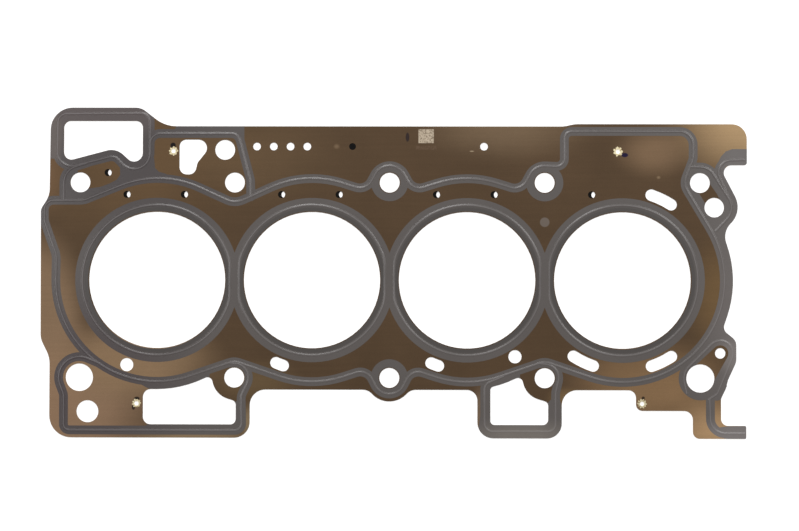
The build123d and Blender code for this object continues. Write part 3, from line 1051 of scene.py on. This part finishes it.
shortWindowFilm = [
    *shortWindow[fromCorner:toPeak],
    *arcSpots(bores[2], 0, films["underCoat"], -59.5, -76),
    (right - 33.0, -row - 2.9),
    (right - 34.4, -row - 3.9),
    (right - 35.3, -row - 8.0),
    (right - 35.8, -row - 16.0),
    (right - 37.9, -row - 22.0),
    *arcSpots(right - 30.3, -row - 26.1, 9.3 - filmGap, 200, 270),
    *arcSpots(right + 1.3, -row - 26.7, 8.7 - filmGap, -90, 0),
    (right + 10 - filmGap, -row - 18.5),
    (right + 9.3, -row - 14.0),
    (right + 8.4, -row - 10.5),
    (right + 4.2, -row - 12.0),
]
leftBoltFilm = [
    (farLeft - 2.5, row + 9.0),
    (farLeft - 6.0, row + 8.2),
    (farLeft - 9.4, row + 3.0),
    (farLeft - 9.8, row - 8.0),
    (farLeft - 6.0, row - 10.5),
    (farLeft + 5.2, row - 10.0),
    (farLeft + 19.3, row - 4.8),
    (farLeft + 34.0, row + 1.2),
    (farLeft + 29.0, row + 5.0),
    (farLeft + 25.0, row + 12.0),
    (farLeft + 21.5, row + 12.4),
    (farLeft + 23.4, row + 9.2),
    (farLeft + 23.6, row + 4.5),
    (farLeft + 21.5, row + 1.6),
    (farLeft + 17.5, row - 0.6),
    (farLeft + 11.8, row - 2.7),
    *arcSpots(farLeft, row, engine["boltHole"] + filmGap, 322, 104),
]
earUpperFilm = [
    *arcSpots(farRight, row, engine["boltHole"] + filmGap, -8, 264),
    (farRight + 2.9, 45.7),
    (farRight - 0.5, 43.4),
    (farRight - 4.5, 50.0),
    (farRight - 8.4, 55.0),
    (farRight - 8.6, 60.0),
    (farRight - 5.0, 65.5),
    (farRight, 67.0),
    (farRight + 5.0, 65.6),
    (farRight + 8.3, 62.2),
    (farRight + 17.2, 47.8),
    (farRight + 10.9, 49.0),
    (farRight + 9.8, 51.3),
]
earLowerFilm = [
    *arcSpots(*lobeHole, engine["lobeHole"] + filmGap, 62, -206),
    (farRight - 0.6, 43.6),
    (farRight + 3.0, 37.0),
    (farRight + 8.0, 28.6),
    (farRight + 10.0, 29.0),
    (farRight + 16.4, 36.6),
    (farRight + 18.2, 43.0),
    (farRight + 17.2, 48.0),
    (farRight + 12.0, 49.2),
]
dowelFilm = [
    (farRight + 8.4, -row - 4.0),
    (farRight + 15.6, -row - 4.0),
    (farRight + 14.6, -row - 6.6),
    (farRight + 12.6, -row - 10.6),
    (farRight + 11.9, -row - 12.4),
    (farRight + 9.6, -row - 13.0),
    (farRight + 3.0, -row - 12.0),
    (farRight + 3.0, -row - 9.4),
    (farRight + 6.2, -row - 7.2),
]
footFilm = [
    (farRight + 11.6, -row - 28.6),
    (farRight + 14.6, -row - 28.2),
    (farRight + 16.6, -row - 27.9),
    (farRight + 26.3, -row - 27.9),
    (farRight + 26.6, -row - 28.2),
    (farRight + 26.6, -row - 35.0),
    (farRight + 14.0, -row - 35.2),
    (farRight + 10.0, -row - 31.0),
]
filmOutlines = [
    [linePoints(chainWindowLine, True), chainWindow],
    [leftBoltFilm],
    [earUpperFilm],
    [earLowerFilm],
    [dowelFilm],
    [footFilm],
    [longWindowFilm],
    [longWindowTopFilm],
    [shortWindowFilm],
]
plates = []
for number, outlines in enumerate(filmOutlines):
    high = films["high"] - number * films["lift"]
    plates.append(makePlate(f"film{number}", outlines, films["low"], high))
printFilms = joinPieces(plates, "printFilms")
finishPiece(printFilms, greyElastomer)
print("films made", len(printFilms.data.polygons))


# The same print on the underside, flush with the lower face

underCoats = []
for name in ("seal_coating", "bore_coating"):
    coat = linkNew(name + "Under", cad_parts[name].data.copy())
    coat.location.z = -sheets["upper"]["high"] * mm
    underCoats.append(coat)
lowerPrint = joinPieces(underCoats, "lowerPrint")
bpy.ops.object.transform_apply(location=True, rotation=True, scale=True)
mergeSpots(lowerPrint, engine["closeSpots"])
finishPiece(lowerPrint, greyElastomer)
print("underside print made", len(lowerPrint.data.polygons))


# Rivets: hollow shanks with a flat foot below, burst into torn petals above

rivetShape = {
    "shank": (1.42, 1.85),
    "foot": (1.42, 3.0, 0.2),
    "layers": [
        # low, high, root and tip radius of a layer of petals
        (0.955, 1.01, 2.15, 3.05),
        (1.01, 1.075, 2.0, 2.7),
        (1.075, 1.14, 1.85, 2.3),
    ],
    "petal": [
        # place across a petal, and how far out towards its tip
        (-1, 0),
        (-0.75, 0.6),
        (-0.35, 0.85),
        (0, 1),
        (0.3, 0.8),
        (0.7, 0.65),
        (1, 0),
    ],
    "wander": 0.15,                  # share of a petal's turn that its middle may be off
    "width": (0.55, 0.85),           # least and most share of its turn
    "shorter": 1.6,                  # times a burst's spread, how much a petal may lack at most
    "ragged": (0.85, 1.1),           # least and most share of its reach, at each spot
    "tornHole": (26, 0.86, 1.06),    # spots, and least and most share of the shank's hole
    "round": (0, 347),               # degrees: the next step would close the circle
    "bevel": 0.02,
}
bursts = {
    # CAD node, petals, their spread and the seed of their tearing
    "rivetUpperLeft": ("rivet_upper_left", 8, 0.3, 3),
    "rivetUpperRight": ("rivet_upper_right", 7, 0.2, 5),
    "rivetLowerLeft": ("rivet_lower_left", 9, 0.45, 8),
    "rivetLowerRight": ("rivet_lower_right", 10, 0.15, 13),
}


def petalSpots(x, y, root, tip, count, spread, random):
    # one torn edge: a narrow notch between petals, and a ragged tip on each
    r = rivetShape
    spots = []
    for k in range(count):
        middle = 2 * pi * (k + random.uniform(-r["wander"], r["wander"])) / count
        half = pi / count * random.uniform(*r["width"])
        reach = tip - (tip - root) * spread * random.random() * r["shorter"]
        for share, far in r["petal"]:
            radius = root
            if far > 0:
                radius += (reach - root) * far * random.uniform(*r["ragged"])
            angle = middle + share * half
            spots.append((x + radius * cos(angle), y + radius * sin(angle)))
    return spots


def makeRivet(name, spot):
    node, count, spread, seed = bursts[name]
    random = Random(seed)
    inner, outer = rivetShape["shank"]
    footInner, footOuter, footHigh = rivetShape["foot"]
    shank = [arcSpots(*spot, radius, *rivetShape["round"]) for radius in (outer, inner)]
    foot = [arcSpots(*spot, radius, *rivetShape["round"]) for radius in (footOuter, footInner)]
    pieces = [
        makePlate(name, shank, footHigh, rivetShape["layers"][0][0]),
        makePlate(name + "Foot", foot, 0.0, footHigh),
    ]
    holeSteps, least, most = rivetShape["tornHole"]
    for number, (low, high, root, tip) in enumerate(rivetShape["layers"]):
        hole = []
        for k in range(holeSteps):
            angle = 2 * pi * k / holeSteps
            acrossX = inner * random.uniform(least, most)
            acrossY = inner * random.uniform(least, most)
            hole.append((spot[0] + acrossX * cos(angle), spot[1] + acrossY * sin(angle)))
        outline = petalSpots(*spot, root, tip, count, spread, random)
        pieces.append(makePlate(f"{name}{number}", [outline, hole], low, high))
    rivet = joinPieces(pieces, name)
    applyModifier(rivet, "BEVEL", width=rivetShape["bevel"] * mm, segments=1, limit_method="ANGLE")
    finishPiece(rivet, paleBrass)
    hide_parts(node)
    return rivet


rivetPieces = [makeRivet(name, spot) for name, spot in rivets.items()]
print("rivets made", sum(len(piece.data.polygons) for piece in rivetPieces))


# Floor, light and camera

studio = {
    "floorDrop": 0.02,
    "floorSize": 6.0,
    "floorTone": 0.92,
    "floorRough": 0.9,
    "floorGlow": 0.45,         # for the camera and in gloss alone
    "worldStrength": 0.56,     # the camera sees it at 1
    "lamps": [
        # place and size in metres, and power
        ((-0.12, 0.66, 1.15), 0.36, 4.0),
        ((0.6, 0.42, 1.15), 0.36, 3.2),
        ((-0.66, 0.05, 1.15), 0.36, 1.4),
    ],
}

floorHeight = cadLow.z - studio["floorDrop"] * mm
bpy.ops.mesh.primitive_plane_add(size=studio["floorSize"], location=(0, 0, floorHeight))
floor = bpy.context.object
floor.name = "floor"
floorMaterial, tree, shader = newMaterial("paleFloor")
shader.inputs["Base Color"].default_value = (*[studio["floorTone"]] * 3, 1)
shader.inputs["Roughness"].default_value = studio["floorRough"]
lightPath = addNode(tree, "ShaderNodeLightPath")
seen = addNode(tree, "ShaderNodeMath", operation="MAXIMUM")
tree.links.new(lightPath.outputs["Is Camera Ray"], seen.inputs[0])
tree.links.new(lightPath.outputs["Is Glossy Ray"], seen.inputs[1])
glow = addNode(tree, "ShaderNodeMath", operation="MULTIPLY")
glow.inputs[1].default_value = studio["floorGlow"]
tree.links.new(seen.outputs["Value"], glow.inputs[0])
shader.inputs["Emission Color"].default_value = (1, 1, 1, 1)
tree.links.new(glow.outputs["Value"], shader.inputs["Emission Strength"])
floor.data.materials.append(floorMaterial)
floor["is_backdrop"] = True

world = bpy.data.worlds.new("studioWorld")
bpy.context.scene.world = world
world.use_nodes = True
tree = world.node_tree
background = tree.nodes["Background"]
lightPath = addNode(tree, "ShaderNodeLightPath")
worldGlow = addNode(tree, "ShaderNodeMapRange")
worldGlow.inputs["To Min"].default_value = studio["worldStrength"]
worldGlow.inputs["To Max"].default_value = 1
tree.links.new(lightPath.outputs["Is Camera Ray"], worldGlow.inputs["Value"])
tree.links.new(worldGlow.outputs["Result"], background.inputs["Strength"])
background.inputs["Color"].default_value = (1, 1, 1, 1)

for number, (spot, size, power) in enumerate(studio["lamps"]):
    bpy.ops.object.light_add(type="AREA", location=spot)
    lamp = bpy.context.object
    lamp.name = f"softbox{number}"
    lamp.data.shape = "SQUARE"
    lamp.data.size = size
    lamp.data.energy = power
    lamp.rotation_euler = (-Vector(spot)).to_track_quat("-Z", "Y").to_euler()


# The camera looks down from just below the middle, very slightly tilted

view = {
    "place": (17.2, -18.6, 1100.0),
    "tilt": (0.0248, 0.01025, 0.00172),
    "fieldWidth": 471.6,       # what it sees at its height
    "sensor": 36,
    "farthest": 20,            # metres
}
cameraPlace = [value * mm for value in view["place"]]
bpy.ops.object.camera_add(location=cameraPlace, rotation=view["tilt"])
camera = bpy.context.object
camera.name = "camera"
camera.data.sensor_width = view["sensor"]
camera.data.lens = view["sensor"] * view["place"][2] / view["fieldWidth"]
camera.data.clip_end = view["farthest"]
bpy.context.scene.camera = camera
bpy.context.scene.view_settings.view_transform = "Standard"
print("studio made")

bpy.context.view_layer.update()
low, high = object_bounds()
